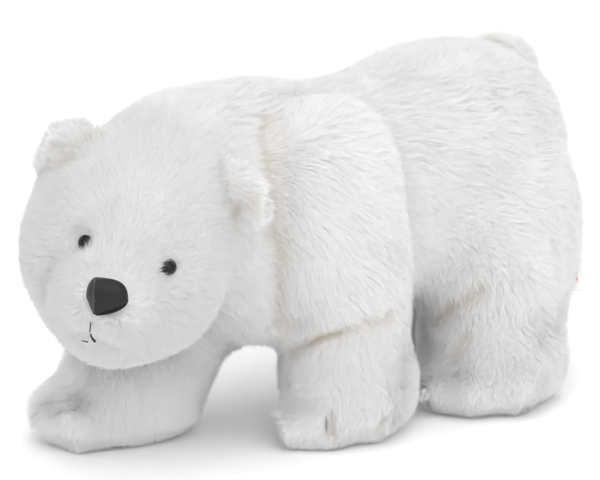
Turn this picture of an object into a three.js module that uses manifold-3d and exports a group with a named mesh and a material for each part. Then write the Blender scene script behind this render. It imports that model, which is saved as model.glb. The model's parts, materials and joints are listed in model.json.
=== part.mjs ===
// A plush polar bear, walking with its head low and turned to its left.
//
// Millimetres, +Z up, the bear faces -Y and its left side is +X. Every stuffed piece is a bag of
// plush, modelled out to the tips of its pile. Each bag is the zero surface of a soft field, which
// blends a few named round masses. Bags that are sewn together are parted by a thin seam gap. The
// bear stands on the suede soles of its four paws, and its origin is under its middle, on the floor.
import * as THREE from "three";
import { MarchingCubes } from "three/addons/objects/MarchingCubes.js";
import { mergeVertices } from "three/addons/utils/BufferGeometryUtils.js";
import Module from "manifold-3d";

const wasm = await Module();
wasm.setup();

// ---------------------------------------------------------------- driving dimensions
const SEAM = 0.5; // clear gap between two sewn pieces
const SOLE = 3; // thickness of a paw's suede sole
const CELL = { trunk: 26, neck: 19.5, head: 13.5, leg: 20.8, paw: 14.8, ear: 11, tail: 10, nose: 5.5 }; // facet sizes

// The head: where the middle of the skull is, and how it is turned, in degrees.
const HEAD_AT = [26, -108, 156];
const HEAD_TURN = { left: 45, down: 7, tilt: 17 };

// The trunk is parted from the neck, and the neck from the head, by two planes: a point and a way forward.
const COLLAR = { at: [6, -34, 160], way: [0.2, -0.97, 0.1] };
const NAPE = { at: [20, -76, 156], way: [0.38, -0.92, -0.05] };

// Each leg: its upper mass, the two ends of the shank and their radii, the paw on the floor and
// how far its toes turn left and are set back from right to left, and the plane where the sleeve
// of the leg is gathered to the paw.
const LEGS = {
  front_left: {
    upper: { at: [56, 40, 170], radii: [45, 62, 76] },
    shank: { from: [56, 56, 116], to: [54, 62, 50], radii: [53, 46] },
    paw: { at: [57, 65], toes: 28, slant: 14, width: 44, length: 54 },
    wrist: { at: [60, 50, 83], way: [0, -0.22, 1] },
  },
  front_right: {
    upper: { at: [-56, 26, 158], radii: [44, 58, 70] },
    shank: { from: [-53, 32, 104], to: [-51, -42, 50], radii: [54, 49] },
    paw: { at: [-45, -64], toes: -19, slant: 0, width: 44, length: 58 },
    wrist: { at: [-54, -24, 68], way: [0, 0.35, 1] },
  },
  hind_left: {
    upper: { at: [54, 231, 118], radii: [44, 69, 86] },
    shank: { from: [59, 203, 90], to: [63, 200, 46], radii: [58, 48] },
    paw: { at: [70, 200], toes: 26, slant: 8, width: 53, length: 59 },
    wrist: { at: [60, 214, 68], way: [0, -0.1, 1] },
  },
  hind_right: {
    upper: { at: [-54, 240, 122], radii: [44, 64, 84] },
    shank: { from: [-60, 250, 90], to: [-60, 254, 46], radii: [48, 42] },
    paw: { at: [-60, 250], toes: -10, slant: 0, width: 41, length: 54 },
    wrist: { at: [-60, 252, 68], way: [0, -0.1, 1] },
  },
};

// ---------------------------------------------------------------- soft fields
const { degToRad } = THREE.MathUtils;

// A place and a turn as a matrix: turned about X, then Y, then Z, in degrees.
function placed(at, turn = [0, 0, 0]) {
  const spin = new THREE.Euler(...turn.map(degToRad), "ZYX");
  return new THREE.Matrix4().makeRotationFromEuler(spin).setPosition(...at);
}

// One round mass: about the distance to an ellipsoid, or to a boxier form where fullness is over 2.
function mass(at, radii, turn, fullness = 2) {
  const inward = placed(at, turn).invert();
  const q = new THREE.Vector3();
  return (p) => {
    const spot = q.copy(p).applyMatrix4(inward).toArray().map(Math.abs);
    const sum = spot.reduce((total, x, i) => total + (x / radii[i]) ** fullness, 0);
    const size = Math.max(sum, 1e-9) ** (1 / fullness);
    const slope = Math.hypot(...spot.map((x, i) => (x / radii[i] / size) ** (fullness - 1) / radii[i]));
    return (size - 1) / slope;
  };
}

// A stuffed tube between two points, with a radius at each end.
function tube(from, to, fromRadius, toRadius) {
  const start = new THREE.Vector3(...from);
  const along = new THREE.Vector3(...to).sub(start);
  const length2 = along.lengthSq();
  const q = new THREE.Vector3();
  return (p) => {
    q.copy(p).sub(start);
    const share = THREE.MathUtils.clamp(q.dot(along) / length2, 0, 1);
    return q.addScaledVector(along, -share).length() - THREE.MathUtils.lerp(fromRadius, toRadius, share);
  };
}

// Fields joined, with a fillet as wide as softness.
function joined(softness, ...fields) {
  return (p) =>
    fields.reduce((near, field) => {
      const other = field(p);
      const overlap = Math.max(softness - Math.abs(near - other), 0) / softness;
      return Math.min(near, other) - (overlap * overlap * softness) / 4;
    }, Infinity);
}

// A field written in a group's own frame.
function inFrame(frame, field) {
  const inward = frame.clone().invert();
  const q = new THREE.Vector3();
  return (p) => field(q.copy(p).applyMatrix4(inward));
}

// ---------------------------------------------------------------- from a field to a solid
// The closed surface where a field is zero, inside a cube, with triangles about one cell across.
function bag(endless, middle, reach, cell) {
  const [midX, midY, midZ] = middle;
  const fromMiddle = (p) => Math.max(Math.abs(p.x - midX), Math.abs(p.y - midY), Math.abs(p.z - midZ));
  const field = (p) => Math.max(endless(p), fromMiddle(p) - reach);
  const cells = 2 * Math.ceil(reach / cell) + 4;
  const grid = new MarchingCubes(cells, new THREE.MeshBasicMaterial(), false, false, 30000);
  const corner = new THREE.Vector3(...middle).subScalar(((cells - 1) / 2) * cell);
  const p = new THREE.Vector3();
  grid.isolation = 0;
  for (let z = 0, n = 0; z < cells; z++)
    for (let y = 0; y < cells; y++)
      for (let x = 0; x < cells; x++, n++) {
        p.set(x, y, z).multiplyScalar(cell).add(corner);
        grid.field[n] = -field(p);
      }
  grid.update();
  const loose = new THREE.BufferGeometry();
  loose.setAttribute("position", new THREE.BufferAttribute(grid.positionArray.slice(0, grid.count * 3), 3));
  loose.scale(cells / 2, cells / 2, cells / 2).translate(cells / 2, cells / 2, cells / 2);
  loose.scale(cell, cell, cell).translate(...corner);
  return relaxed(mergeVertices(loose, cell * 1e-3), field, cell);
}

// Evens out a surface's triangles: each vertex moves towards its neighbours' middle, then back to zero.
function relaxed(geometry, field, cell, rounds = 6) {
  const place = geometry.attributes.position;
  const index = geometry.index;
  const spot = new THREE.Vector3();
  const probe = new THREE.Vector3();
  const slope = new THREE.Vector3();
  for (let round = 0; round < rounds; round++) {
    const sum = new Float32Array(place.count * 4);
    for (let i = 0; i < index.count; i++) {
      const here = index.getX(i);
      const next = index.getX(i - (i % 3) + ((i + 1) % 3));
      for (const [a, b] of [[here, next], [next, here]]) {
        sum[4 * a] += place.getX(b);
        sum[4 * a + 1] += place.getY(b);
        sum[4 * a + 2] += place.getZ(b);
        sum[4 * a + 3] += 1;
      }
    }
    for (let v = 0; v < place.count; v++) {
      spot.set(sum[4 * v], sum[4 * v + 1], sum[4 * v + 2]).divideScalar(sum[4 * v + 3]);
      for (let step = 0; step < 2; step++) {
        const off = field(spot);
        for (const axis of ["x", "y", "z"]) {
          probe.copy(spot)[axis] += cell / 20;
          slope[axis] = (field(probe) - off) / (cell / 20);
        }
        spot.addScaledVector(slope, -off / Math.max(slope.lengthSq(), 0.3));
      }
      place.setXYZ(v, spot.x, spot.y, spot.z);
    }
  }
  return geometry;
}

// The geometry again, its surface moved out by some distance.
function grown(geometry, distance) {
  const out = geometry.clone();
  out.computeVertexNormals();
  const { position, normal } = out.attributes;
  for (let v = 0; v < position.count; v++)
    position.setXYZ(
      v,
      position.getX(v) + normal.getX(v) * distance,
      position.getY(v) + normal.getY(v) * distance,
      position.getZ(v) + normal.getZ(v) * distance,
    );
  out.deleteAttribute("normal");
  return out;
}

function solid(geometry) {
  const bare = geometry.clone();
  bare.deleteAttribute("normal");
  bare.deleteAttribute("uv");
  const closed = mergeVertices(bare, 1e-3);
  const vertProperties = closed.attributes.position.array;
  const triVerts = new Uint32Array(closed.index.array);
  return new wasm.Manifold(new wasm.Mesh({ numProp: 3, vertProperties, triVerts }));
}

function geometryOf(manifold) {
  const mesh = manifold.getMesh();
  const geometry = new THREE.BufferGeometry();
  geometry.setAttribute("position", new THREE.BufferAttribute(mesh.vertProperties, 3));
  geometry.setIndex(new THREE.BufferAttribute(mesh.triVerts, 1));
  return geometry;
}

// The half of space beyond a plane, as a large block. The plane is a point and the way to go from it.
function beyond({ at, way }, offset = 0) {
  const size = 600;
  const forward = new THREE.Vector3(...way).normalize();
  const turn = new THREE.Quaternion().setFromUnitVectors(new THREE.Vector3(0, 0, 1), forward);
  const block = new THREE.BoxGeometry(size, size, size).translate(0, 0, size / 2 + offset);
  return solid(block.applyQuaternion(turn).translate(...at));
}

const turnedRound = ({ at, way }) => ({ at, way: way.map((x) => -x) });

// ---------------------------------------------------------------- the head
const headFrame = placed([0, 0, 0], [0, 0, HEAD_TURN.left])
  .multiply(placed([0, 0, 0], [HEAD_TURN.down, 0, 0]))
  .multiply(placed([0, 0, 0], [0, HEAD_TURN.tilt, 0]))
  .setPosition(...HEAD_AT);
const onHead = (at) => new THREE.Vector3(...at).applyMatrix4(headFrame).toArray();

// In the head's own frame: the face looks along -Y.
const skull = mass([-2, 4, 16], [67, 62, 61]);
const cheeks = [mass([-32, -11, -12], [37, 42, 45]), mass([30, -14, -20], [38, 40, 40])];
const jaw = mass([0, -28, -40], [38, 44, 34]);
const muzzle = mass([-3, -56, -18], [33, 38, 27]);
const head = inFrame(headFrame, joined(12, joined(24, skull, ...cheeks, jaw), muzzle));

const EYES = { radius: 6, left: [30, -54, 12], right: [-30, -54, 12] };
const NOSE = { at: [-3, -91, -4], radii: [14, 9, 12.5] };
const EARS = {
  radii: [28, 12, 25],
  left: { at: [56, 0, 53], turn: [0, 30, -20] },
  right: { at: [-52, 0, 48], turn: [0, -30, 20] },
};

// ---------------------------------------------------------------- the trunk, the neck and the tail
const chest = mass([0, 24, 158], [80, 86, 97]);
const belly = mass([0, 125, 158], [80, 110, 90]);
const rump = mass([0, 220, 171], [84, 97, 93], [0, 0, 0], 2.3);
const nape = mass([8, -50, 184], [62, 72, 70], [16, 0, 15]);
const body = joined(20, joined(34, joined(30, chest, belly, rump), nape), head);
const TAIL = { at: [-1, 283, 238], radii: [26, 34, 24] };

// The middle of the trunk's stuffing is a rod that the legs' upper ends stop at.
const CORE = { radii: [66, 78], height: 164, from: -8, to: 255 };

function core(inset = 0) {
  const [across, upright] = CORE.radii;
  const rod = new THREE.CylinderGeometry(1, 1, CORE.to - CORE.from - 2 * inset, 14);
  rod.scale(across - inset, 1, upright - inset);
  return solid(rod.translate(0, (CORE.from + CORE.to) / 2, CORE.height));
}

// ---------------------------------------------------------------- the legs
// A paw has a full pad, and toes that bulge from its front with a groove between them.
function pawField({ at, toes, slant, width, length }) {
  const pad = mass([0, 10, 30], [width, length - 8, 38], [0, 0, 0], 2.6);
  const toeAt = (n) => [n * width * 0.55, 16 - length + Math.abs(n) * 7 + n * slant, 19 + (n * slant) / 2];
  const toe = (n) => mass(toeAt(n), [19, 25, 20], [0, 0, n * 16], 2.6);
  return inFrame(placed([at[0], at[1], 0], [0, 0, toes]), joined(8, pad, ...[-1, 0, 1].map(toe)));
}

function legField({ upper, shank, paw }) {
  const shoulder = mass(upper.at, upper.radii, [0, 0, 0], 2.3);
  const limb = joined(22, shoulder, tube(shank.from, shank.to, ...shank.radii), pawField(paw));
  return (p) => Math.max(limb(p), SOLE + SEAM - p.z);
}

function soleGeometry({ at, toes, width, length }) {
  const outline = new THREE.Shape().absellipse(0, 2, width * 0.68, length * 0.7, 0, 2 * Math.PI);
  const plate = new THREE.ExtrudeGeometry(outline, { depth: SOLE, bevelEnabled: false, curveSegments: 9 });
  return plate.applyMatrix4(placed([at[0], at[1], 0], [0, 0, toes]));
}

// ---------------------------------------------------------------- materials
const PLUSH = { color: 0xf4f3ee, roughness: 0.95, metalness: 0 };
const GLOSSY_BLACK = { color: 0x0d0c0c, roughness: 0.12, metalness: 0 };
const LEATHERETTE = { color: 0x1d1c1f, roughness: 0.5, metalness: 0 };
const SUEDE = { color: 0x5c5a60, roughness: 0.95, metalness: 0 };
const RIBBON = { color: 0xeceae2, roughness: 0.8, metalness: 0 };

// ---------------------------------------------------------------- the pieces
const bear = new THREE.Group();

function add(name, geometry, look) {
  const mesh = new THREE.Mesh(geometry, new THREE.MeshStandardMaterial(look));
  mesh.name = name;
  bear.add(mesh);
}

// The legs come first, as the body is cut to clear them.
const legRoom = [];
for (const [name, leg] of Object.entries(LEGS)) {
  const field = legField(leg);
  const [x, y] = leg.paw.at;
  const sleeve = bag(field, [x, y, 120], 150, CELL.leg);
  const foot = bag(field, [x, y, 60], 80, CELL.paw);
  const belowWrist = turnedRound(leg.wrist);
  const limb = solid(sleeve).intersect(beyond(leg.wrist, SEAM / 2));
  add(`${name}_leg`, geometryOf(limb.subtract(core())), PLUSH);
  add(`${name}_paw`, geometryOf(solid(foot).intersect(beyond(belowWrist, SEAM / 2))), PLUSH);
  add(`${name}_sole`, soleGeometry(leg.paw), SUEDE);
  legRoom.push(solid(grown(sleeve, SEAM)).intersect(beyond(leg.wrist, -SEAM / 2)).subtract(core(SEAM)));
  legRoom.push(solid(grown(foot, SEAM)).intersect(beyond(belowWrist, -SEAM / 2)));
}
const clearOfLegs = (piece) => legRoom.reduce((rest, room) => rest.subtract(room), piece);

// One soft body, in three lengths with facets of their own size.
const trunkBag = bag(body, [0, 110, 160], 215, CELL.trunk);
const neckBag = bag(body, [10, -52, 165], 110, CELL.neck);
const headBag = bag(body, [26, -118, 156], 110, CELL.head);
const trunkSolid = solid(trunkBag).intersect(beyond(turnedRound(COLLAR), SEAM / 2));
const neckSolid = solid(neckBag)
  .intersect(beyond(COLLAR, SEAM / 2))
  .intersect(beyond(turnedRound(NAPE), SEAM / 2));
add("trunk", geometryOf(clearOfLegs(trunkSolid)), PLUSH);
add("neck", geometryOf(clearOfLegs(neckSolid)), PLUSH);

// The nose and the eyes sit in hollows of the head, and the ears stand on it.
const nose = bag(inFrame(headFrame, mass(NOSE.at, NOSE.radii)), onHead(NOSE.at), 20, CELL.nose);
add("nose", nose, LEATHERETTE);
let headSolid = solid(headBag).intersect(beyond(NAPE, SEAM / 2)).subtract(solid(grown(nose, SEAM)));
const headRoom = [headBag, neckBag].map((piece) => solid(grown(piece, SEAM)));
for (const side of ["left", "right"]) {
  const inHead = (geometry) => geometry.translate(...EYES[side]).applyMatrix4(headFrame);
  const ball = (radius) => inHead(new THREE.SphereGeometry(radius, 12, 8));
  add(`${side}_eye`, ball(EYES.radius), GLOSSY_BLACK);
  headSolid = headSolid.subtract(solid(ball(EYES.radius + SEAM)));
  const { at, turn } = EARS[side];
  const ear = bag(inFrame(headFrame, mass(at, EARS.radii, turn)), onHead(at), 32, CELL.ear);
  add(`${side}_ear`, geometryOf(headRoom.reduce((rest, room) => rest.subtract(room), solid(ear))), PLUSH);
}
add("head", geometryOf(clearOfLegs(headSolid)), PLUSH);

const tail = bag(mass(TAIL.at, TAIL.radii, [-20, 0, 0]), TAIL.at, 40, CELL.tail);
add("tail", geometryOf(solid(tail).subtract(solid(grown(trunkBag, SEAM)))), PLUSH);

// A blank ribbon tag, sewn into the seam behind the left thigh, stands out through the pile.
const TAG = { at: [70, 291, 82], turn: 47, out: 12, thick: 1.2, height: 26 };
const tag = new THREE.BoxGeometry(TAG.out, TAG.thick, TAG.height);
tag.applyMatrix4(placed(TAG.at, [0, 0, TAG.turn]));
add("label", geometryOf(clearOfLegs(solid(tag))), RIBBON);

// The origin goes under the middle of the whole bear.
const box = new THREE.Box3().setFromObject(bear);
bear.position.set(-(box.min.x + box.max.x) / 2, -(box.min.y + box.max.y) / 2, -box.min.z);

export default bear;
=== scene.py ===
"""A plush polar bear, walking with its head low and turned to its left.

A stuffed skin takes the place of every plush piece of the frame, and a pile of solid tufts is
rooted in it. The eyes, nose, mouth stitches, soles and label are made on top of it. Metres, +Z up.
"""

import json
import math

import bpy
import numpy as np
from mathutils import Matrix, Vector, noise
from mathutils.bvhtree import BVHTree
from mathutils.kdtree import KDTree


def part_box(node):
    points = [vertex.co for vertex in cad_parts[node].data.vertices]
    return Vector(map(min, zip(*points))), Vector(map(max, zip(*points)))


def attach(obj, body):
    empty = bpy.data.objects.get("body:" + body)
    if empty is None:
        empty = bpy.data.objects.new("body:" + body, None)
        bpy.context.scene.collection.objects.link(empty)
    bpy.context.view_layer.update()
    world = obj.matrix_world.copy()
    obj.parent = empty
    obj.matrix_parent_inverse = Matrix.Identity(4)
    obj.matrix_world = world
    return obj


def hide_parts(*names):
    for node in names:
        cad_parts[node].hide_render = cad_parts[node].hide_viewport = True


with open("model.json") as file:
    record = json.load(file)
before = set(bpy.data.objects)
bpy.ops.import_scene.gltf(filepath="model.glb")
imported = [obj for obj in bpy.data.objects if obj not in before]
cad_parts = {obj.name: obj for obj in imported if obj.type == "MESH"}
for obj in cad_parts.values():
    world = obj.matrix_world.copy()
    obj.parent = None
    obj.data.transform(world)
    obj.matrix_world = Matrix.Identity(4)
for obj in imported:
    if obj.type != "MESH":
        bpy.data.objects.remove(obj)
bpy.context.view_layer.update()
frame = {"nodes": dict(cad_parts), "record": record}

# ---------------------------------------------------------------- the studio
# The bear stands on seamless white paper, between pale walls that fill the shadows. Wide soft
# lamps light it from the front, from its left and from above.
MM = 0.001
PAPER_SIZE = 16.0
PAPER_WHITE = (0.96, 0.96, 0.96, 1)
WALL_LIGHT = 1.1
LIGHT_BOUNCES = 16
AIM = Vector((-11.1, 5.0, 130)) * MM
VIEW_AZIMUTH, VIEW_ELEVATION, VIEW_DISTANCE = math.radians(47), math.radians(12), 1.75
LENS, SENSOR = 146, 36


class Socket:
    """An output of a shader node that can be used in sums."""

    def __init__(self, finish, output):
        self.finish, self.output = finish, output

    def maths(self, operation, first, second):
        return self.finish.add("ShaderNodeMath", {"operation": operation}, {0: first, 1: second})

    def __add__(self, other):
        return self.maths("ADD", self, other)

    def __mul__(self, other):
        return self.maths("MULTIPLY", self, other)

    __radd__, __rmul__ = __add__, __mul__


class Finish:
    """A material, built node by node."""

    def __init__(self, name):
        self.material = bpy.data.materials.new(name)
        self.material.use_nodes = True
        self.tree = self.material.node_tree
        self.tree.nodes.clear()

    def add(self, kind, settings=None, sockets=None, output=0):
        """Adds a node: its settings first, then the values or links of its sockets."""
        node = self.tree.nodes.new(kind)
        for name, value in (settings or {}).items():
            setattr(node, name, value)
        for name, value in (sockets or {}).items():
            if isinstance(value, Socket):
                self.tree.links.new(value.output, node.inputs[name])
            else:
                node.inputs[name].default_value = value
        return Socket(self, node.outputs[output]) if node.outputs else None

    def place(self):
        """Where a point is on the piece, in metres."""
        return self.add("ShaderNodeTexCoord", output="Object")

    def mixed(self, share, first, second):
        """Two colours mixed: 0 gives the first and 1 the second."""
        settings = {"data_type": "RGBA"}
        return self.add("ShaderNodeMix", settings, {0: share, 6: first, 7: second}, output=2)

    def noise(self, scale, detail=2.0):
        """Cloudy noise that stays put on the piece."""
        sockets = {"Vector": self.place(), "Scale": scale, "Detail": detail}
        return self.add("ShaderNodeTexNoise", None, sockets)

    def marked(self, name):
        """A value that the mesh carries at its points."""
        return self.add("ShaderNodeAttribute", {"attribute_name": name}, output="Fac")

    def bump(self, height, strength, depth):
        """Small relief: how strong it is, and how deep in metres."""
        sockets = {"Height": height, "Strength": strength, "Distance": depth}
        return self.add("ShaderNodeBump", None, sockets)

    def wear(self, surface):
        """Makes this shader the material's surface."""
        self.add("ShaderNodeOutputMaterial", None, {"Surface": surface})
        return self.material

    def wear_skin(self, skin):
        """Makes one principled shader, with these values and links, the material's surface."""
        return self.wear(self.add("ShaderNodeBsdfPrincipled", None, skin))


def select_only(*pieces):
    bpy.ops.object.select_all(action="DESELECT")
    for piece in pieces:
        piece.select_set(True)
    bpy.context.view_layer.objects.active = pieces[0]


bpy.ops.object.select_all(action="DESELECT")
bpy.ops.mesh.primitive_plane_add(size=PAPER_SIZE)
paper = bpy.context.object
paper.name = "paper_floor"
white_paper = Finish("white_paper")
fibres = white_paper.noise(900.0)
paper_skin = {
    "Base Color": PAPER_WHITE,
    "Roughness": 0.9,
    "Normal": white_paper.bump(fibres, 0.05, 0.0002),
}
paper.data.materials.append(white_paper.wear_skin(paper_skin))

walls = bpy.data.worlds.new("pale_walls")
walls.use_nodes = True
wall_paint = walls.node_tree.nodes["Background"]
wall_paint.inputs["Color"].default_value = (1, 1, 1, 1)
wall_paint.inputs["Strength"].default_value = WALL_LIGHT
bpy.context.scene.world = walls

# Each lamp: where it hangs, what it points at, its width and its power in watts.
for name, at, size, power in [
    ("front_lamp", (1.43, -1.33, 1.5), 1.6, 12),
    ("side_lamp", (2.09, -0.56, 1.14), 1.2, 6.5),
    ("overhead_lamp", (0.48, -0.28, 2.26), 1.2, 5),
]:
    lamp = bpy.data.objects.new(name, bpy.data.lights.new(name, "AREA"))
    lamp.data.size, lamp.data.energy = size, power
    lamp.location = at
    lamp.rotation_euler = (AIM - lamp.location).to_track_quat("-Z", "Y").to_euler()
    bpy.context.collection.objects.link(lamp)

back = Vector((
    math.sin(VIEW_AZIMUTH) * math.cos(VIEW_ELEVATION),
    -math.cos(VIEW_AZIMUTH) * math.cos(VIEW_ELEVATION),
    math.sin(VIEW_ELEVATION),
))
camera = bpy.data.objects.new("camera", bpy.data.cameras.new("camera"))
camera.data.lens, camera.data.sensor_width = LENS, SENSOR
camera.location = AIM + back * VIEW_DISTANCE
camera.rotation_euler = (-back).to_track_quat("-Z", "Y").to_euler()
bpy.context.collection.objects.link(camera)
bpy.context.scene.camera = camera
bpy.context.scene.view_settings.view_transform = "Standard"
light_paths = bpy.context.scene.cycles
light_paths.max_bounces = light_paths.diffuse_bounces = LIGHT_BOUNCES
light_paths.transmission_bounces = LIGHT_BOUNCES

# ---------------------------------------------------------------- the stuffed skin
# The bear is one bag of knitted cloth, sewn from panels and stuffed with soft filling. The frame's
# plush pieces reach to the tips of the pile, so the cloth lies inside them by the pile's depth.
# Where two panels meet, the seam thread pulls the cloth in, and it folds where the limbs bend.
CLOTH_STEP, SEAM_BRIDGE = 2.6 * MM, 0.9 * MM
plush = [part["node"] for part in frame["record"]["subparts"] if part["material_slot"] == "plush"]
middle_of = {name: np.array((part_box(name)[0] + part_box(name)[1]) / 2) for name in frame["nodes"]}

# The head's own directions, from its eyes and nose: to the bear's left, ahead and to the crown. The
# nose is this much below the eyes, and the eyes are so far ahead of the head's middle and above it.
NOSE_DROP = math.radians(23.4)
EYES_AHEAD, EYES_UP = 54, 12
to_left = middle_of["left_eye"] - middle_of["right_eye"]
to_left /= np.linalg.norm(to_left)
between_eyes = (middle_of["left_eye"] + middle_of["right_eye"]) / 2
to_nose = middle_of["nose"] - between_eyes
to_nose -= to_left * (to_nose @ to_left)
to_nose /= np.linalg.norm(to_nose)
ahead = math.cos(NOSE_DROP) * to_nose + math.sin(NOSE_DROP) * np.cross(to_nose, to_left)
crown = np.cross(ahead, to_left)
face_middle = between_eyes - (EYES_AHEAD * ahead + EYES_UP * crown) * MM


def on_head(left, front, high):
    """A place given by the head's own directions, in mm from its middle."""
    return face_middle + (left * to_left + front * ahead + high * crown) * MM


def on_body(across, along_back, high):
    """A place given in mm: to the bear's left, to its tail and up."""
    return np.array([across, along_back, high]) * MM

# How deep the pile is over each piece of cloth, in mm: by the last word of the piece's name.
DEPTH = {"trunk": 8.5, "neck": 8, "head": 6, "tail": 6, "ear": 2.5, "leg": 8, "paw": 5.3}

# Seams that show: the two pieces, how deep the thread pulls the cloth, how wide the valley is, and
# how much cream is painted in it, partly for the backing showing and partly as painted warm shade.
SEAMS = [
    ("front_left_leg", "neck", 0.5, 7, 0.05),
    ("front_left_leg", "trunk", 0.8, 7, 0.08),
    ("front_right_leg", "neck", 1.5, 6, 0.25),
    ("front_right_leg", "trunk", 0.8, 7, 0.08),
    ("left_ear", "head", 1.5, 4, 0.12),
    ("right_ear", "head", 1.5, 4, 0.12),
    ("tail", "trunk", 2.5, 5, 0.15),
]

# Folds and creases: the points each runs through, how deep and how wide it is, how much cream is
# painted in it (partly the backing showing, partly painted warm shade), and how much the pile is
# flattened beside it.
FOLDS = [
    # the seam down the middle of the face
    (
        [on_head(-9, 75, 5), on_head(-3, 58, 21), on_head(-3, 48, 50), on_head(-4, 29, 68),
         on_head(0, 0, 79)],
        0.8, 4, 0, 0.1,
    ),
    # the seam between the neck and the near shoulder
    (
        [on_body(35, -73, 237), on_body(50, -89, 220), on_body(61, -92, 189), on_body(62, -90, 161),
         on_body(59, -84, 139), on_body(51, -76, 112), on_body(39, -65, 88)],
        1.8, 4.5, 0.3, 0.15,
    ),
    # where the muzzle stands out from the far cheek
    (
        [on_head(-34, 57, 7), on_head(-44, 53, -6), on_head(-48, 49, -24), on_head(-46, 46, -40)],
        3.5, 6.5, 0, 0.1,
    ),
    # inside the ears
    ([on_head(56, 12, 52), on_head(57, 13, 46)], 2, 3, 0.6, 0.3),
    ([on_head(-50, 17, 53), on_head(-57, 17, 44)], 2, 4, 0.2, 0.1),
    # the near elbow: the whole fold, and the stretch where it is pulled open
    (
        [on_body(33, -52, 66), on_body(50, -54, 74), on_body(67, -50, 82), on_body(82, -40, 88)],
        4, 4, 0.2, 0.25,
    ),
    ([on_body(56, -53, 77), on_body(67, -50, 82), on_body(79, -42, 87)], 4.5, 2.6, 0.85, 0.4),
    ([on_body(82, -40, 88), on_body(91, -25, 94), on_body(94, -4, 96)], 2.5, 5, 0.15, 0.1),
    # the far elbow
    ([on_body(-115, -75, 70), on_body(-85, -100, 74), on_body(-45, -85, 76)], 2, 6, 0.2, 0.15),
    # where the near thigh meets the belly, and below it
    (
        [on_body(43, 84, 69), on_body(58, 84, 80), on_body(70, 87, 88), on_body(83, 94, 98)],
        3, 4.5, 0.3, 0.15,
    ),
    ([on_body(65, 86, 48), on_body(70, 88, 57), on_body(72, 90, 63)], 1.5, 4.5, 0.2, 0.1),
    # between the toes of the near front paw
    ([on_body(82, -50, 6), on_body(81, -50, 23), on_body(80, -48, 33)], 6, 2.8, 0.25, 0.15),
    ([on_body(91, -15, 7), on_body(97, -14, 18), on_body(98, -12, 25)], 4.5, 3, 0.2, 0.15),
    # below the nose, down to the mouth
    ([on_head(-10, 92, -20), on_head(-8, 88, -31)], 1.5, 3, 0, 0.5),
    (
        [on_head(-14, 74, -43), on_head(-7, 80, -40), on_head(0, 76, -43), on_head(10, 68, -48)],
        2.5, 4, 0, 0.45,
    ),
]

# Hollows, and swellings by the far eye and on the far front paw: the middle, how deep and how wide.
HOLLOWS = [
    (on_head(30, 54, 12), 0.8, 9),
    (on_head(-34, 54, 15), 2.5, 8),
    (on_head(-24, 61, 8), -4.5, 7),
    (on_head(7, 87, -29), 4, 12),
    (on_body(-46, -182, 8), 6, 16),
    (on_body(-42, -186, 35), -4, 10),
]
# The ears' dishes: depth and width in mm, the painted cream shade in them, and how far they turn out.
EAR_HOLLOW, EAR_HOLLOW_WIDTH, EAR_BACKING_AND_SHADE, EAR_TURN = 3, 8, 0.12, 0.35


def finished(piece, *modifiers):
    """Adds modifiers to a piece, each a kind and its settings, and applies them."""
    select_only(piece)
    for kind, settings in modifiers:
        modifier = piece.modifiers.new(kind, kind)
        for name, value in settings.items():
            setattr(modifier, name, value)
        bpy.ops.object.modifier_apply(modifier=modifier.name)
    return piece


def copied(name, *nodes):
    """One new piece from the merged meshes of these CAD nodes."""
    copies = []
    for node in nodes:
        copy = bpy.data.objects.new(name, frame["nodes"][node].data.copy())
        bpy.context.collection.objects.link(copy)
        copies.append(copy)
    select_only(*copies)
    if len(copies) > 1:
        bpy.ops.object.join()
    piece = bpy.context.object
    piece.name = name
    piece.data.materials.clear()
    bpy.ops.object.mode_set(mode="EDIT")
    bpy.ops.mesh.select_all(action="SELECT")
    bpy.ops.mesh.remove_doubles(threshold=0.01 * MM)
    bpy.ops.object.mode_set(mode="OBJECT")
    return piece


def read(collection, name, width, kind=np.float64):
    values = np.zeros(len(collection) * width, kind)
    collection.foreach_get(name, values)
    return values.reshape(-1, width) if width > 1 else values


def searched(mesh):
    """A mesh made ready for looking up its nearest point, or where a line meets it."""
    faces = [list(face.vertices) for face in mesh.polygons]
    return BVHTree.FromPolygons([vertex.co for vertex in mesh.vertices], faces)


def unit(vectors):
    return vectors / np.maximum(np.linalg.norm(vectors, axis=-1, keepdims=True), 1e-12)


skin = finished(
    copied("stuffed_skin", *plush),
    ("DISPLACE", {"strength": SEAM_BRIDGE, "mid_level": 0}),
    ("REMESH", {"mode": "VOXEL", "voxel_size": CLOTH_STEP}),
    ("DISPLACE", {"strength": -SEAM_BRIDGE, "mid_level": 0}),
)
place = read(skin.data.vertices, "co", 3)
ends = read(skin.data.edges, "vertices", 2, np.int32)
links = np.bincount(ends.ravel(), minlength=len(place))


def evened(values, rounds, share=0.5):
    """Values at the cloth's vertices, each moved towards the mean of its neighbours."""
    flat = values.reshape(len(values), -1).astype(float)
    share = np.broadcast_to(np.asarray(share, float).reshape(-1, 1), (len(flat), 1))
    for _ in range(rounds):
        columns = []
        for column in flat.T:
            total = np.bincount(ends[:, 0], column[ends[:, 1]], len(flat))
            total += np.bincount(ends[:, 1], column[ends[:, 0]], len(flat))
            columns.append(total / links)
        flat = flat + (np.stack(columns, 1) - flat) * share
    return flat.reshape(values.shape)


def outward():
    """The cloth's normals, for the places it has now."""
    skin.data.vertices.foreach_set("co", place.ravel())
    skin.data.update()
    return read(skin.data.vertices, "normal", 3)


def hump(distances, width):
    """1 in the middle, falling smoothly to nothing at about twice this width in mm."""
    return np.exp(-((distances / (width * MM)) ** 2))


def from_line(points):
    """How far each place on the cloth is from a line through these points."""
    nearest = np.full(len(place), np.inf)
    for start, end in zip(points, points[1:]):
        step = end - start
        share = np.clip((place - start) @ step / (step @ step), 0, 1)[:, None]
        nearest = np.minimum(nearest, np.linalg.norm(place - start - share * step, axis=1))
    return nearest


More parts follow.
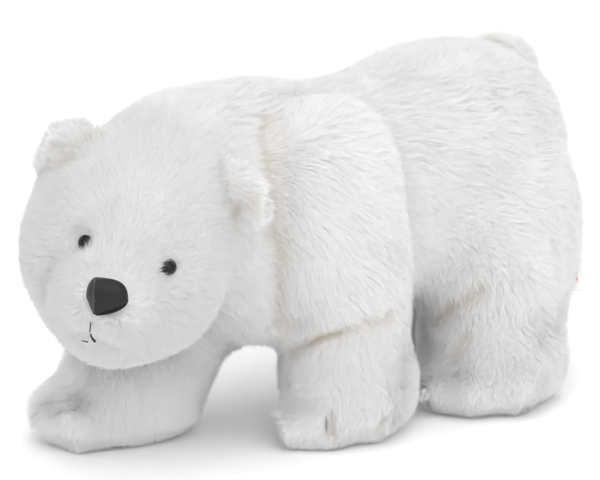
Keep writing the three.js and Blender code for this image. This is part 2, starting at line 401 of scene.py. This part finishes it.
# How far each vertex is from each plush piece, and how much of it belongs to each. The pieces
# blend into each other over this distance.
BLEND = 7 * MM
distance = np.zeros((len(place), len(plush)))
for column, name in enumerate(plush):
    mesh = frame["nodes"][name].data
    tree = searched(mesh)
    distance[:, column] = [tree.find_nearest(Vector(p))[3] for p in place]
share_of = np.exp(-(distance - distance.min(1, keepdims=True)) / BLEND)
share_of /= share_of.sum(1, keepdims=True)
kind_of = [name.split("_")[-1] for name in plush]


def by_piece(table):
    """A value for each vertex, blended from a table of values by the piece or its kind."""
    values = [table[name] if name in table else table[kind] for name, kind in zip(plush, kind_of)]
    return share_of @ np.array(values, float)


# Facets are evened out, more on the large pieces than on the small ones, and hardly on the near
# front paw, whose toes show.
SOFTNESS = {
    "trunk": 0.5, "neck": 0.5, "head": 0.3, "tail": 0.12, "ear": 0.1, "leg": 0.5, "paw": 0.4,
    "front_left_paw": 0.12,
}
SOFTENING_ROUNDS = 30
place = evened(place, SOFTENING_ROUNDS, by_piece(SOFTNESS))


def ripple(scale, seed):
    """Smooth noise at each vertex, from about -1 to 1."""
    shift = Vector((seed * 7.3, seed * 3.1, seed * 5.7))
    return np.array([noise.noise(Vector(p) / (scale * MM) + shift) for p in place]) * 2


# The filling leaves the cloth slightly uneven, in lumps of this size.
UNEVEN = {"trunk": 0.7, "neck": 0.6, "head": 0.25, "tail": 0.5, "ear": 0.4, "leg": 0.6, "paw": 0.4}
LUMP = 24
uneven = ripple(LUMP, 5) * by_piece(UNEVEN) * MM

SEAM_REACH, FLATTENED_WIDTH = 9, 2.2
# The cream painted in seams, folds and hollows is partly the backing and partly painted warm shade.
valley, backing_and_shade, flattened = (np.zeros(len(place)) for _ in range(3))
for first, second, deep, wide, backing_and_shade_tint in SEAMS:
    near, far = distance[:, plush.index(first)], distance[:, plush.index(second)]
    beside = hump(near - far, wide) * hump(np.maximum(near, far), SEAM_REACH)
    valley = np.maximum(valley, deep * MM * beside)
    backing_and_shade = np.maximum(backing_and_shade, backing_and_shade_tint * beside)
for points, deep, wide, backing_and_shade_tint, flat in FOLDS:
    away = from_line(points)
    valley = np.maximum(valley, deep * MM * hump(away, wide))
    backing_and_shade = np.maximum(backing_and_shade, backing_and_shade_tint * hump(away, wide))
    flattened = np.maximum(flattened, flat * hump(away, wide * FLATTENED_WIDTH))
for middle, deep, wide in HOLLOWS:
    valley += deep * MM * hump(np.linalg.norm(place - middle, axis=1), wide)
lift = outward()
# Each ear is dished, and cream is painted into the dish: painted warm shade, and some backing.
for name in ("left_ear", "right_ear"):
    side = to_left if name == "left_ear" else -to_left
    facing = unit(ahead + EAR_TURN * side)
    offset = place - middle_of[name]
    offset -= (offset @ facing)[:, None] * facing
    dish = hump(np.linalg.norm(offset, axis=1), EAR_HOLLOW_WIDTH) * np.clip(lift @ facing, 0, 1)
    dish *= share_of[:, plush.index(name)]
    valley += EAR_HOLLOW * MM * dish
    backing_and_shade = np.maximum(backing_and_shade, EAR_BACKING_AND_SHADE * dish)

# The paws are rounded at their foot, and under them the cloth stays down, where the soles are sewn
# on. The cloth goes in by its depth in a few small steps.
PAW_ROUND, SOLE_TOP, SOLE_BLEND = 8, 9 * MM, 5 * MM
INSET_STEPS = 4
under_paw = np.clip((SOLE_TOP - place[:, 2]) / SOLE_BLEND, 0, 1)
drop = np.clip(PAW_ROUND - place[:, 2] / MM, 0, PAW_ROUND)
tuck = (PAW_ROUND - np.sqrt(PAW_ROUND**2 - drop**2)) * MM
depth = evened(by_piece(DEPTH) * MM, 10) + evened(valley, 1) + uneven
for _ in range(INSET_STEPS):
    lift = outward()
    inset = lift * depth[:, None] / INSET_STEPS
    inset[:, 2] *= 1 - under_paw
    inset[:, :2] += lift[:, :2] * tuck[:, None] / INSET_STEPS
    place = evened(place - inset, 1, 0.3)
lift = outward()
bpy.ops.object.shade_smooth()

# ---------------------------------------------------------------- the plush finish
# The same white acrylic plush is used all over: nearly pure white, a little translucent, and
# cream in the seams, folds and ear hollows, partly where its backing shows between the fibres and
# partly as painted warm shade.
PLUSH_WHITE, PLUSH_SHADED = (0.945, 0.945, 0.95, 1), (0.925, 0.922, 0.915, 1)
PLUSH_BRIGHT, BACKING_CREAM_AND_SHADE = (0.965, 0.965, 0.97, 1), (0.62, 0.53, 0.36, 1)
LOCK_SHINE, SEEN_THROUGH = 0.3, 0.5
white_plush = Finish("white_plush")
backing_and_shade_share, lively = white_plush.marked("backing_and_shade"), white_plush.marked("lock")
broad = white_plush.noise(18.0)
pale = white_plush.mixed(broad, PLUSH_SHADED, PLUSH_WHITE)
pale = white_plush.mixed(lively * LOCK_SHINE, pale, PLUSH_BRIGHT)
# Painted shade: the cream darkens and warms the seams, creases and ear hollows, and also stands for the
# backing seen there.
pale = white_plush.mixed(backing_and_shade_share, pale, BACKING_CREAM_AND_SHADE)
matt = white_plush.add("ShaderNodeBsdfPrincipled", None, {"Base Color": pale, "Roughness": 0.85})
glow = white_plush.add("ShaderNodeBsdfTranslucent", None, {"Color": pale})
soft = white_plush.add("ShaderNodeMixShader", None, {0: SEEN_THROUGH, 1: matt, 2: glow})
plush_cloth = white_plush.wear(soft)


def attribute(mesh, name, values):
    """Marks the mesh's points with these values."""
    mesh.attributes.new(name, "FLOAT", "POINT").data.foreach_set("value", np.asarray(values, np.float32))


attribute(skin.data, "backing_and_shade", backing_and_shade)
attribute(skin.data, "lock", np.zeros(len(place)))
skin.data.materials.append(plush_cloth)
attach(skin, "root")
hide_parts(*plush)

# ---------------------------------------------------------------- the eyes
# Each eye is a polished black plastic bead on a flange, pressed through the cloth and held by a
# washer behind it, so that it sits in a small hollow.
EYE_RADIUS, EYE_SUNK = 6, {"left_eye": 6.8, "right_eye": 8.9}
LOOKS_OUT, LOOKS_AHEAD, LOOKS_UP = 0.42, 0.88, 0.2
FLANGE_BACK, FLANGE_INSET, FLANGE_THICK, FLANGE_EDGE = 1.5, 0.5, 1.2, 0.2


def toward(direction, top=(0, 0, 1)):
    """A turn that brings the local Z axis to this direction, with local Y as near the top as can be."""
    forward = Vector(direction).normalized()
    across = Vector(top).cross(forward).normalized()
    return Matrix((across, forward.cross(across), forward)).transposed().to_4x4()


def settled(piece, turn, at):
    """Puts a piece made at the origin in its place, in its mesh."""
    piece.data.transform(Matrix.Translation(Vector(at)) @ turn)
    piece.data.update()
    return piece


black_plastic = Finish("polished_black_plastic")
clouds, scuffs = black_plastic.noise(900.0), black_plastic.noise(2600.0, 4.0)
black_plastic_skin = {
    "Base Color": black_plastic.mixed(clouds, (0.002, 0.0015, 0.0015, 1), (0.008, 0.005, 0.004, 1)),
    "Roughness": 0.07 + scuffs * 0.05,
    "Normal": black_plastic.bump(scuffs, 0.03, 0.00005),
    "Specular IOR Level": 0.25,
}
black_plastic.wear_skin(black_plastic_skin)

eye_middles = {}
for name, side in (("left_eye", 1), ("right_eye", -1)):
    bpy.ops.object.select_all(action="DESELECT")
    bpy.ops.mesh.primitive_uv_sphere_add(segments=48, ring_count=24, radius=EYE_RADIUS * MM)
    eye = bpy.context.object
    eye.name = f"{name}_bead"
    bpy.ops.object.mode_set(mode="EDIT")
    bpy.ops.mesh.select_all(action="SELECT")
    bpy.ops.mesh.bisect(
        plane_co=(0, 0, -FLANGE_BACK * MM), plane_no=(0, 0, 1), use_fill=True, clear_inner=True
    )
    bpy.ops.mesh.inset(thickness=FLANGE_INSET * MM)
    bpy.ops.mesh.extrude_region_move(TRANSFORM_OT_translate={"value": (0, 0, -FLANGE_THICK * MM)})
    bpy.ops.object.mode_set(mode="OBJECT")
    finished(eye, ("BEVEL", {"width": FLANGE_EDGE * MM, "segments": 2, "limit_method": "ANGLE"}))
    bpy.ops.object.shade_smooth_by_angle(angle=math.radians(40))
    look = side * LOOKS_OUT * to_left + LOOKS_AHEAD * ahead + LOOKS_UP * crown
    eye_middles[name] = middle_of[name] - unit(look) * EYE_SUNK[name] * MM
    settled(eye, toward(look, crown), eye_middles[name])
    eye.data.materials.append(black_plastic.material)
    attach(eye, "root")
    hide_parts(name)

# ---------------------------------------------------------------- the nose
# The nose is a small bag of satin black leatherette: a wide cheek and a narrow one, sewn together
# along a ridge, and a flap turned under them. It is stuffed firm, and sits lopsided on the muzzle.
LEFT_CHEEK, RIGHT_CHEEK = 19.6, 7.6
NOSE_RISE, NOSE_DIP, NOSE_FRONT, NOSE_BACK = 12.8, 10.9, 13, 5
NOSE_YAW, NOSE_ROLL = math.radians(10), math.radians(16)
RIDGE_PLACE, RIDGE_SLANT, RIDGE_SEAM, FOLD_DEPTH = -7, -1.1, 0.6, 3

bpy.ops.object.select_all(action="DESELECT")
bpy.ops.mesh.primitive_uv_sphere_add(segments=96, ring_count=64, radius=1)
nose = bpy.context.object
nose.name = "nose_leatherette"
x, y, z = read(nose.data.vertices, "co", 3).T
rim = np.hypot(x, y)
# Each quarter of the outline is squared in its own way; the ridge runs up and down at x = 0.
square = np.where(x > 0, np.where(y > 0, 3.4, 1.85), np.where(y > 0, 1.7, 1.25))
spread = np.where(z > 0, rim**0.8, rim)
reach = spread / np.maximum(np.abs(x) ** square + np.abs(y) ** square, 1e-9) ** (1 / square)
x, y = x * reach, y * reach
# The wide cheek falls away gently, and the narrow one fast.
cheeks = np.where(x > 0, 1 - 0.45 * x - 0.2 * x**3, 1 + 0.75 * x)
# The flap is turned under along a line that climbs from the foot of the ridge to the left.
FOLD_FOOT, FOLD_CLIMB, FOLD_SOFT, RIDGE_WIDTH = -0.7, 0.6, 0.08, 0.022
fold_line = FOLD_FOOT + FOLD_CLIMB * np.clip(x, 0, 1)
below = np.clip((fold_line - y) / FOLD_SOFT, 0, 1)
# It stands out most at the flap, slopes back to its top, and is rounded at its rim.
slope = 0.5 + 0.5 * np.clip((1 - y) / (1 - fold_line), 0, 1) ** 0.8
edge = np.sqrt(np.clip(1 - spread**8, 0, 1))
ridge = np.exp(-((x / RIDGE_WIDTH) ** 2)) * (z > 0)
sides = np.where(x > 0, LEFT_CHEEK, RIGHT_CHEEK) * x + RIDGE_PLACE + RIDGE_SLANT * y
highs = np.where(y > 0, NOSE_RISE, NOSE_DIP) * y
deeps = (NOSE_FRONT * cheeks * slope + RIDGE_SEAM * ridge - FOLD_DEPTH * below) * edge
deeps = np.where(z > 0, deeps, -NOSE_BACK * np.sqrt(np.clip(1 - rim**2, 0, 1)))
nose.data.vertices.foreach_set("co", (np.stack([sides, highs, deeps], 1) * MM).ravel())
nose.data.update()
bpy.ops.object.shade_smooth()
nose_ahead = math.cos(NOSE_YAW) * ahead - math.sin(NOSE_YAW) * to_left
nose_up = math.cos(NOSE_ROLL) * crown - math.sin(NOSE_ROLL) * to_left
settled(nose, toward(nose_ahead, nose_up), middle_of["nose"])
attribute(nose.data, "turned_under", below * (z > 0))
attribute(nose.data, "ridge", ridge)

leatherette = Finish("satin_leatherette")
turned, ridge_painted_highlight = leatherette.marked("turned_under"), leatherette.marked("ridge")
pores = {"Vector": leatherette.place(), "Scale": 2600.0}
grain = leatherette.add("ShaderNodeTexVoronoi", {"feature": "SMOOTH_F1"}, pores)
creasing = leatherette.noise(160.0, 3.0)
hide = leatherette.mixed(creasing, (0.003, 0.003, 0.004, 1), (0.01, 0.009, 0.012, 1))
# Painted shade: the flap turned under the nose is painted a deeper black; it is also made matter.
hide = leatherette.mixed(turned, hide, (0.002, 0.002, 0.002, 1))
# Painted highlight: the seam along the ridge is painted a lighter grey.
hide = leatherette.mixed(ridge_painted_highlight * 0.7, hide, (0.1, 0.1, 0.11, 1))
leatherette_skin = {
    "Base Color": hide,
    "Roughness": 0.38 + turned * 0.4 + creasing * 0.1,
    "Normal": leatherette.bump(grain * 0.3 + creasing, 0.35, 0.0004),
    "Specular IOR Level": 0.3,
}
nose.data.materials.append(leatherette.wear_skin(leatherette_skin))
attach(nose, "root")
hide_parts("nose")

# ---------------------------------------------------------------- the mouth
# The mouth is one black thread, pulled through the muzzle: a stitch down from the nose, and a
# short one to either side of its foot.
THREAD = 0.9
# Each stitch: how much thicker it is at its end, and the points it runs through.
STITCHES = [
    (1, [(-9.4, 92.3, -23), (-8.8, 91, -27), (-8.4, 88.8, -30.5)]),
    (2.1, [(-7.6, 89.5, -31.5), (-6.6, 87.8, -34.5), (-3.8, 83.5, -38)]),
    (0.8, [(-8, 78, -42), (-10, 76, -43), (-12, 74, -44)]),
]
black_thread = Finish("black_thread")
plies = {"Vector": black_thread.place(), "Scale": 900.0, "Distortion": 1.0}
twist = black_thread.add("ShaderNodeTexWave", None, plies)
black_thread_skin = {
    "Base Color": black_thread.mixed(twist, (0.012, 0.01, 0.01, 1), (0.03, 0.026, 0.026, 1)),
    "Roughness": 0.7,
    "Normal": black_thread.bump(twist, 0.4, 0.0002),
}
black_thread.wear_skin(black_thread_skin)
stitches = []
for end_radius, points in STITCHES:
    line = bpy.data.curves.new("stitch", "CURVE")
    line.dimensions = "3D"
    line.bevel_depth, line.bevel_resolution, line.resolution_u = THREAD / 2 * MM, 4, 6
    line.use_fill_caps = True
    spline = line.splines.new("NURBS")
    spline.points.add(len(points) - 1)
    spline.use_endpoint_u, spline.order_u = True, 3
    for spot, point, radius in zip(spline.points, points, np.linspace(1, end_radius, len(points))):
        spot.co, spot.radius = (*on_head(*point), 1), radius
    stitch = bpy.data.objects.new("stitch", line)
    bpy.context.collection.objects.link(stitch)
    stitches.append(stitch)
select_only(*stitches)
bpy.ops.object.convert(target="MESH")
bpy.ops.object.join()
mouth = bpy.context.object
mouth.name = "mouth_stitches"
bpy.ops.object.shade_smooth()
mouth.data.materials.clear()
mouth.data.materials.append(black_thread.material)
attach(mouth, "root")

# ---------------------------------------------------------------- the soles
# Under each paw is an oval of dark grey suede cloth, sewn in at its edge and pressed flat by the
# bear's weight. The pile of the paw hangs over its edge.
SOLE_SHARE, SOLE_EDGE = 0.86, 0.9
suede = Finish("grey_suede")
nap, rubbed = suede.noise(1400.0, 3.0), suede.noise(60.0, 4.0)
suede_skin = {
    "Base Color": suede.mixed(rubbed * 0.7 + nap * 0.3, (0.075, 0.068, 0.07, 1), (0.15, 0.14, 0.145, 1)),
    "Roughness": 0.9,
    "Normal": suede.bump(nap, 0.5, 0.0003),
}
suede.wear_skin(suede_skin)
sole_nodes = [name for name in frame["nodes"] if name.endswith("_sole")]
for name in sole_nodes:
    sole = copied(f"{name}_suede", name)
    middle = Matrix.Translation(Vector((*middle_of[name][:2], 0)))
    sole.data.transform(middle @ Matrix.Diagonal((SOLE_SHARE, SOLE_SHARE, 1, 1)) @ middle.inverted())
    rounded = {"width": SOLE_EDGE * MM, "segments": 3, "limit_method": "ANGLE"}
    rounded["angle_limit"] = math.radians(50)
    finished(sole, ("BEVEL", rounded))
    bpy.ops.object.shade_smooth_by_angle(angle=math.radians(35))
    sole.data.materials.append(suede.material)
    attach(sole, "root")
    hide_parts(name)

# ---------------------------------------------------------------- the label
# A short length of white satin ribbon with a plain red band is folded in two and sewn into the
# seam behind the left thigh. It is blank.
RIBBON_WIDTH, RIBBON_OUT, RIBBON_THICK, RIBBON_GAP = 25, 12, 0.3, 1.2
RIBBON_WAVE, RIBBON_DROOP = 1.1, 0.8
BAND_MIDDLE, BAND_HALF, BAND_FROM, BAND_TO = 0.05, 0.3, 0.25, 0.5
LABEL_TURN = math.radians(47)
bpy.ops.object.select_all(action="DESELECT")
bpy.ops.mesh.primitive_grid_add(x_subdivisions=40, y_subdivisions=16, size=1)
label = bpy.context.object
label.name = "blank_label"
ribbon = read(label.data.vertices, "co", 3)
share, high = ribbon[:, 0] * 2, ribbon[:, 1]
out = RIBBON_OUT * (1 - np.abs(share)) - RIBBON_OUT / 2
swing = np.sign(share) * RIBBON_GAP / 2 * np.minimum(1, np.abs(share) * 5)
swing += RIBBON_WAVE * np.sin(out * 0.25 + high * 2)
tall = high * RIBBON_WIDTH - RIBBON_DROOP * (1 - np.abs(share))
label_place = np.stack([out, swing, tall], 1) * MM
label.data.vertices.foreach_set("co", label_place.ravel())
label.data.update()
across_band = np.abs(high - BAND_MIDDLE) < BAND_HALF
attribute(label.data, "band", across_band & (BAND_FROM < np.abs(share)) & (np.abs(share) < BAND_TO))
finished(label, ("SOLIDIFY", {"thickness": RIBBON_THICK * MM, "offset": 0}))
bpy.ops.object.shade_smooth()
settled(label, Matrix.Rotation(LABEL_TURN, 4, "Z"), middle_of["label"])
satin = Finish("satin_ribbon")
red = satin.marked("band")
threads = {"Vector": satin.place(), "Scale": 900.0}
weave = satin.add("ShaderNodeTexWave", {"bands_direction": "Z"}, threads)
satin_skin = {
    "Base Color": satin.mixed(red, (0.82, 0.81, 0.79, 1), (0.55, 0.05, 0.05, 1)),
    "Roughness": 0.45,
    "Normal": satin.bump(weave, 0.2, 0.0001),
}
label.data.materials.append(satin.wear_skin(satin_skin))
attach(label, "root")
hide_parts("label")

# ---------------------------------------------------------------- the pile
# The pile is a long, silky acrylic fur. It is brushed back from the nose, along the back, and
# down the sides and the legs, and its fibres gather in small locks.
rng = np.random.default_rng(7)
# By piece: how long a fibre is in mm, how many degrees it stands up from the cloth, and how wide
# its tuft is in mm.
LENGTH = {"trunk": 14, "neck": 13, "head": 9.5, "tail": 12, "ear": 12, "leg": 13, "paw": 9}
LEAN = {"trunk": 36, "neck": 36, "head": 40, "tail": 40, "ear": 38, "leg": 37, "paw": 40}
WIDTH = {"trunk": 0.62, "neck": 0.6, "head": 0.45, "tail": 0.6, "ear": 0.48, "leg": 0.6, "paw": 0.48}
# How far tips are drawn to the middle of their lock, how wide a lock is in mm, how much each lock
# faces its own way, how much the tufts show their backs, how strong the combed streaks are, and
# how close the tufts stand.
GATHER = {"trunk": 0.18, "neck": 0.18, "head": 0.26, "tail": 0.2, "ear": 0.22, "leg": 0.18, "paw": 0.26}
LOCK = {"trunk": 2.3, "neck": 2.3, "head": 2, "tail": 2.5, "ear": 2.2, "leg": 2.3, "paw": 2}
STRAND = {"trunk": 0.06, "neck": 0.05, "head": 0.06, "tail": 0.06, "ear": 0.06, "leg": 0.06, "paw": 0.06}
BACKS = {"trunk": 0.3, "neck": 0.25, "head": 0.05, "tail": 0.3, "ear": 0.2, "leg": 0.4, "paw": 0.4}
STREAK = {"trunk": 1, "neck": 0.8, "head": 0.7, "tail": 1, "ear": 1, "leg": 0.7, "paw": 0.5}
CROWD = {"trunk": 1, "neck": 1, "head": 1.7, "tail": 1.1, "ear": 2, "leg": 1, "paw": 1.6}
TUFTS = 1420000
FLOOR_GAP, TRIM_HEIGHT, TRIM_SHARE = 0.8, 10, 0.65

nose_tip = middle_of["nose"]
head_middle = middle_of["head"]
# The legs' pile hangs down below this height, and is brushed back more and more above it.
HANGING_TOP, SWEPT_RISE = 0.07, 0.11


def brushed(name, p):
    """The way that the pile of one piece is brushed, at each place p."""
    if name == "trunk":
        return np.array([0, 1, -0.6]) + 0 * p
    if name == "neck":
        return np.array([-0.3, 0.9, -0.5]) + 0 * p
    if name == "head":
        parting = ((p - face_middle) @ to_left + 3 * MM) / (7 * MM)
        return unit(p - nose_tip) + to_left * (0.5 * parting * np.exp(-(parting**2)))[:, None]
    if name.endswith("ear"):
        return unit(p - head_middle) + np.array([0, 0, -0.8 if name == "left_ear" else -0.2])
    if name == "tail":
        return np.array([0, 0.6, -1]) + 0 * p
    if name.endswith("leg"):
        swept = np.clip((p[:, [2]] - HANGING_TOP) / SWEPT_RISE, 0, 1)
        return unit(np.array([0, 0.15, -1]) * (1 - swept) + np.array([0, 1, -0.6]) * swept)
    away = (p - middle_of[name]) * (1, 1, 0)
    return unit(unit(away) * 0.7 + (0, 0, -1))


def along(flow, normal):
    """Directions laid down on the cloth."""
    return unit(flow - normal * (flow * normal).sum(1, keepdims=True))


flow = sum(share_of[:, [i]] * unit(brushed(name, place)) for i, name in enumerate(plush))
# The brushing changes gently from piece to piece, and wanders a little.
KEPT_WAYS = ("head", "paw", "ear")
BRUSH_ROUNDS, FLOW_SHARE, KEPT_SHARE = 160, 0.5, 0.12
flow_shares = by_piece({kind: KEPT_SHARE if kind in KEPT_WAYS else FLOW_SHARE for kind in DEPTH})
flow = along(evened(flow, BRUSH_ROUNDS, flow_shares), lift)
WANDER, WANDER_SIZE, STRAY, STRAY_SIZE = 20, 38, 12, 15
turn = np.radians(WANDER * ripple(WANDER_SIZE, 1) + STRAY * ripple(STRAY_SIZE, 2))[:, None]
flow = flow * np.cos(turn) + np.cross(lift, flow) * np.sin(turn)
flow = along(flow, lift)


def combed(seed, rounds):
    """Streaks: chance values at the vertices, evened mostly along the brushing, from -2 to 2."""
    values = np.random.default_rng(seed).normal(size=len(place))
    # Each value spreads to its neighbours along the brushing, and hardly to those across it.
    step = unit(place[ends[:, 1]] - place[ends[:, 0]])
    pull = ((step * (flow[ends[:, 0]] + flow[ends[:, 1]]) / 2).sum(1)) ** 6 + 0.01
    weight = np.bincount(ends[:, 0], pull, len(place)) + np.bincount(ends[:, 1], pull, len(place))
    for _ in range(rounds):
        total = np.bincount(ends[:, 0], pull * values[ends[:, 1]], len(place))
        total += np.bincount(ends[:, 1], pull * values[ends[:, 0]], len(place))
        values = (values + 2 * total / weight) / 3
    values = evened(values, 1)
    return np.clip(values / values.std(), -2, 2) * by_piece(STREAK)


PARTING_TURN = 7
streaks, partings = combed(3, 10), combed(4, 14)
side_slope = np.radians(PARTING_TURN * partings)[:, None]
flow = along(flow * np.cos(side_slope) + np.cross(lift, flow) * np.sin(side_slope), lift)

# An unwrap of the cloth gives every tuft its own small patch of the map that colours are baked to.
select_only(skin)
bpy.ops.object.mode_set(mode="EDIT")
bpy.ops.mesh.select_all(action="SELECT")
bpy.ops.uv.smart_project(angle_limit=math.radians(66), island_margin=0.004)
bpy.ops.object.mode_set(mode="OBJECT")
skin.data.uv_layers[0].name = "OFBake"
skin.data.calc_loop_triangles()
corners = read(skin.data.loop_triangles, "vertices", 3, np.int32)
corner_loops = read(skin.data.loop_triangles, "loops", 3, np.int32)
map_place = read(skin.data.uv_layers["OFBake"].data, "uv", 2)

# Roots are strewn over the cloth by chance, closer together on the head, the ears and the paws. The
# cloth under the eyes, the nose and the soles is left bare.
NOSE_REACH, EYE_EDGE, SOLE_BARE = 30 * MM, 0.6, 0.9
nose_tree = searched(nose.data)
bare = np.linalg.norm(place - nose_tip, axis=1) < NOSE_REACH
for number in np.flatnonzero(bare):
    bare[number] = nose_tree.ray_cast(Vector(place[number]), Vector(nose_ahead))[0] is not None
for middle in eye_middles.values():
    bare |= np.linalg.norm(place - middle, axis=1) < (EYE_RADIUS - EYE_EDGE) * MM
for name in sole_nodes:
    low, high = (np.array(corner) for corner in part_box(name))
    spread = (place - middle_of[name])[:, :2] / ((high - low)[:2] / 2 * SOLE_SHARE)
    bare |= (np.linalg.norm(spread, axis=1) < SOLE_BARE) & (place[:, 2] < SOLE_TOP)
side1, side2 = (place[corners[:, n]] - place[corners[:, 0]] for n in (1, 2))
area = np.linalg.norm(np.cross(side1, side2), axis=1) / 2
chance = area * (by_piece(CROWD) * ~bare)[corners].mean(1)
chosen = rng.choice(len(corners), TUFTS, p=chance / chance.sum())
s, t = rng.random(TUFTS), rng.random(TUFTS)
s, t = np.where(s + t > 1, 1 - s, s), np.where(s + t > 1, 1 - t, t)
weights = np.stack([1 - s - t, s, t], 1)


def at_roots(values):
    """Values at the cloth's vertices, read off where each tuft is rooted."""
    return np.einsum("nk,nk...->n...", weights, values[corners[chosen]])


root, up, way = at_roots(place), unit(at_roots(lift)), at_roots(flow)
way = along(way, up)
root_map = np.einsum("nk,nkd->nd", weights, map_place[corner_loops[chosen]])
root_piece = share_of.argmax(1)[corners[chosen][np.arange(TUFTS), weights.argmax(1)]]

# Fibres near each other share a lock: they lean alike, to the middle of the lock.
lock_share = 1 / (at_roots(by_piece(CROWD)) * at_roots(by_piece(LOCK)) ** 2)
lock_count = int((area / by_piece(LOCK)[corners].mean(1) ** 2).sum() / MM**2)
heads = rng.choice(TUFTS, lock_count, replace=False, p=lock_share / lock_share.sum())
locks = KDTree(len(heads))
for number, head in enumerate(heads):
    locks.insert(root[head], head)
locks.balance()
leader = np.array([locks.find(p)[1] for p in root])
strand = rng.normal(size=(TUFTS, 2))[leader]

# The pile is trimmed short round the soles, and lies flat beside the creases.
STREAK_LEAN, LOCK_LEAN, STRAY_LEAN = 3, 3, 6
trimmed = np.clip((TRIM_HEIGHT * MM - root[:, 2]) / (TRIM_HEIGHT * MM), 0, 1)
kept_length = (1 - at_roots(flattened)) * (1 - TRIM_SHARE * trimmed)
long = at_roots(by_piece(LENGTH)) * MM * rng.uniform(0.75, 1.15, TUFTS) * kept_length
lean = at_roots(by_piece(LEAN) + STREAK_LEAN * streaks) + LOCK_LEAN * strand[:, 1]
lean = np.radians(lean + rng.normal(0, STRAY_LEAN, TUFTS))
wide = at_roots(by_piece(WIDTH)) * MM * rng.uniform(0.7, 1.1, TUFTS)
tip = root + (way * np.cos(lean)[:, None] + up * np.sin(lean)[:, None]) * long[:, None]
gather = at_roots(by_piece(GATHER))[:, None] * rng.uniform(0.6, 1.2, (TUFTS, 1))
tip += (tip[leader] - tip) * gather

# Leaning fibres show their backs, so they face a little against the brushing, and a streak faces
# a little to one side.
PARTING_SHOWN = 0.06
side_turn = at_roots(partings) * PARTING_SHOWN + at_roots(by_piece(STRAND)) * strand[:, 0]
sideways = np.cross(up, way) * side_turn[:, None]
facing = unit(up - way * at_roots(by_piece(BACKS))[:, None] + sideways)

# No tip ends inside an eye or in the floor. A fibre can still cross an eye on its way past it.
EYE_CLEAR = 0.5
for middle in eye_middles.values():
    offset = tip - middle
    reach = np.linalg.norm(offset, axis=1, keepdims=True)
    tip += offset / reach * np.maximum((EYE_RADIUS + EYE_CLEAR) * MM - reach, 0)
tip[:, 2] = np.maximum(tip[:, 2], FLOOR_GAP * MM)

TUFT_SPIN = math.radians(12)
spin = rng.normal(0, TUFT_SPIN, (TUFTS, 1))
run = unit(tip - root)
across = unit(np.cross(run, up))
across = across * np.cos(spin) + np.cross(run, across) * np.sin(spin)
STREAK_TONE, STRAY_TONE = 0.2, 0.25
lock_tone = 0.5 + STREAK_TONE * at_roots(streaks) + rng.uniform(-STRAY_TONE, STRAY_TONE, TUFTS)
lock_tone = np.clip(lock_tone, 0, 1)
# The cloth's painted cream shade, read at each root.
root_backing_and_shade = at_roots(backing_and_shade)

# Three corners a tuft: two at the root and one at the tip.
ROOT_DEPTH, MAP_PATCH = 0.5, 0.003
half = across * wide[:, None] / 2
tuft_points = np.stack([root - half - up * ROOT_DEPTH * MM, root + half - up * ROOT_DEPTH * MM, tip], 1)
PATCH = MAP_PATCH * np.array([(-0.5, -0.4), (0.5, -0.4), (0, 0.6)])

COATS = {
    "coat_head": ["head", "left_ear", "right_ear"],
    "coat_neck": ["neck"],
    "coat_trunk": ["trunk", "tail"],
    "coat_front_left": ["front_left_leg", "front_left_paw"],
    "coat_front_right": ["front_right_leg", "front_right_paw"],
    "coat_hind_left": ["hind_left_leg", "hind_left_paw"],
    "coat_hind_right": ["hind_right_leg", "hind_right_paw"],
}
MOST_TUFTS = 190000
coat_parts = []
for name, pieces in COATS.items():
    members = np.flatnonzero(np.isin(root_piece, [plush.index(piece) for piece in pieces]))
    members = members[np.argsort(root[members, 1], kind="stable")]
    parts = math.ceil(len(members) / MOST_TUFTS)
    for number, some in enumerate(np.array_split(members, parts)):
        coat_parts.append((f"{name}_{number + 1}" if parts > 1 else name, some))

for name, some in coat_parts:
    mesh = bpy.data.meshes.new(name)
    faces = np.arange(len(some) * 3).reshape(-1, 3)
    mesh.from_pydata(tuft_points[some].reshape(-1, 3), [], faces)
    patches = root_map[some][:, None] + PATCH
    patches = np.clip(patches, 0, 1).reshape(-1, 2)
    mesh.uv_layers.new(name="OFBake").data.foreach_set("uv", patches[faces.ravel()].ravel())
    # Painted shade: a tuft carries the cloth's cream at its root and half of it at its tip.
    attribute(mesh, "backing_and_shade", np.repeat(root_backing_and_shade[some], 3) * np.tile([1, 1, 0.5], len(some)))
    attribute(mesh, "lock", np.repeat(lock_tone[some], 3))
    mesh.materials.append(plush_cloth)
    mesh.normals_split_custom_set_from_vertices(np.repeat(facing[some], 3, axis=0))
    coat = bpy.data.objects.new(name, mesh)
    bpy.context.collection.objects.link(coat)
    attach(coat, "root")
